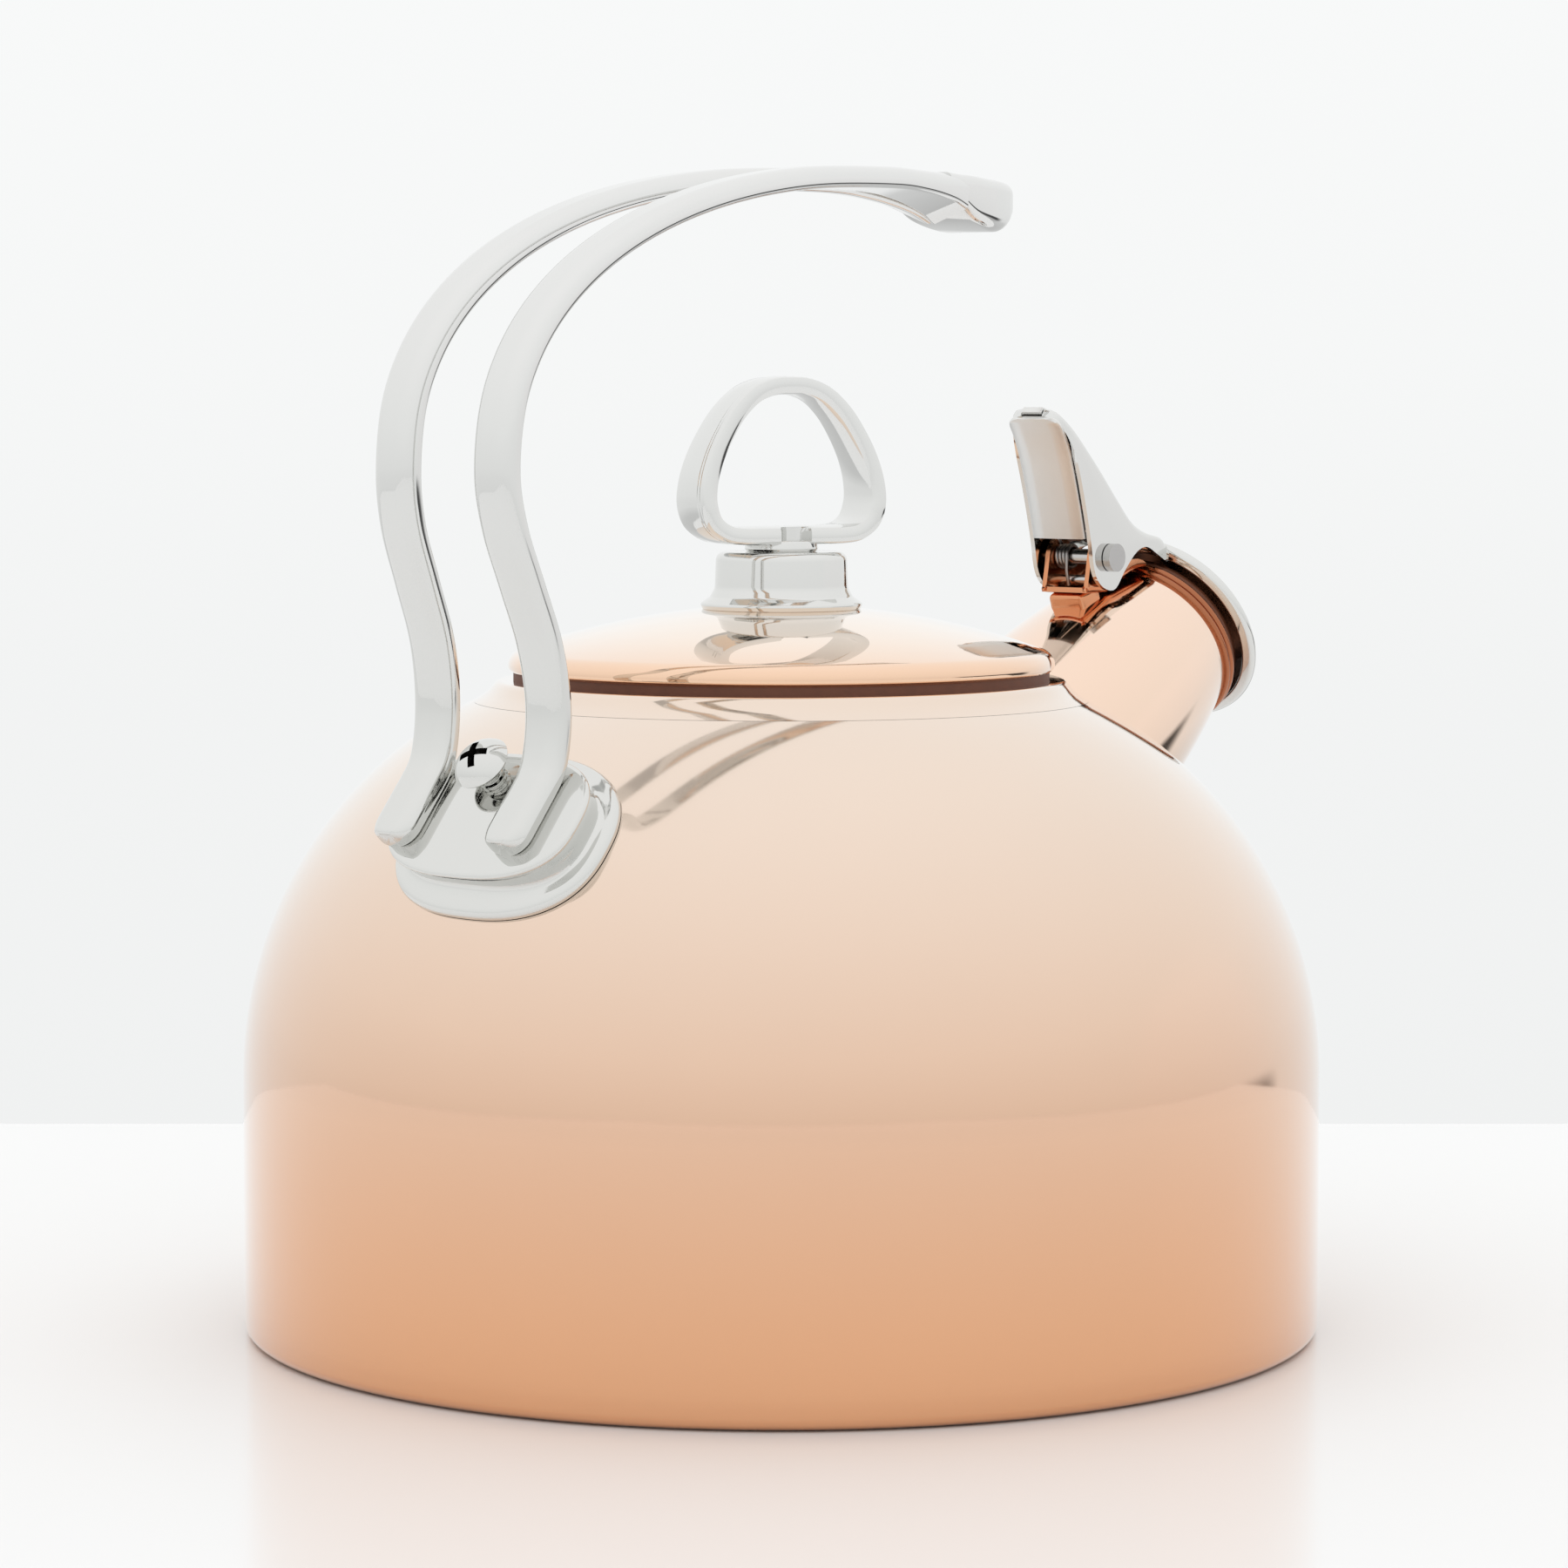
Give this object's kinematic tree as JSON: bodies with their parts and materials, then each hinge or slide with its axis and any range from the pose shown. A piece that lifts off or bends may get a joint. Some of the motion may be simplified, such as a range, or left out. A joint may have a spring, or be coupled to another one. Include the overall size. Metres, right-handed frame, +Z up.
{
  "type": "stovetop whistling kettle",
  "caption": "Domed copper-finished stovetop whistling kettle with a chrome loop knob, a two-bar chrome handle and a sprung whistle cap on its spout.",
  "frame": {"origin": "centre of the base, on the plane the kettle stands on", "axes": "+Z up along the kettle's axis, +X from the axis towards the spout, +Y to the left when looking along the spout"},
  "size_m": [0.224, 0.19, 0.2047],
  "materials": {
    "copper_shell": "mirror-polished rose copper plate",
    "copper_lid": "mirror-polished rose copper plate",
    "copper_trim": "bright polished copper edge",
    "copper_spout": "mirror-polished rose copper plate",
    "copper_bracket": "polished copper plate",
    "chrome": "bright polished chrome plate",
    "steel_inside": "satin stainless steel",
    "steel_base": "brushed stainless steel",
    "aluminium_core": "plain",
    "steel_hardware": "bright steel",
    "spring_steel": "drawn wire",
    "dark_steel": "dark oxide",
    "silicone_seal": "matt"
  },
  "bodies": {
    "kettle": {"body_shell": "copper_shell", "inner_pan": "steel_inside", "base_cover": "steel_base", "heat_spreader": "aluminium_core", "lid_seat_ring": "copper_trim", "spout_tube": "copper_spout", "hinge_bracket": "copper_bracket", "pivot_pin": "steel_hardware", "spring_rod": "steel_hardware", "return_spring": "spring_steel", "handle_pedestal": "chrome", "pedestal_gasket": "silicone_seal", "inner_seal_washer": "silicone_seal", "inner_clamp_plate": "steel_inside", "handle_nut": "steel_hardware", "handle_screw": "steel_hardware", "handle_bar": "chrome"},
    "whistle_cap": {"cap_lever": "chrome", "lever_inner_plate": "chrome", "mouth_seal": "silicone_seal", "whistle_cup": "dark_steel", "whistle_inner_plate": "dark_steel", "whistle_outer_plate": "dark_steel", "whistle_clamp_ring": "dark_steel"},
    "lid": {"lid_shell": "copper_lid", "lid_skirt": "steel_inside", "knob_collar": "chrome", "knob_ring": "chrome", "knob_washer": "steel_hardware", "knob_screw": "steel_hardware"}
  },
  "joints": [
    {"name": "cap_hinge", "type": "hinge", "parent": "kettle", "child": "whistle_cap", "pos_m": [0.08997, 0, 0.13335], "axis": [0, -1, 0], "range_deg": [0, 50], "stiffness_Nm_per_rad": 0.05, "springref_deg": -20.05},
    {"name": "lid_lift", "type": "slide", "parent": "kettle", "child": "lid", "axis": [0, 0, 1], "range_m": [0, 0.022]}
  ]
}
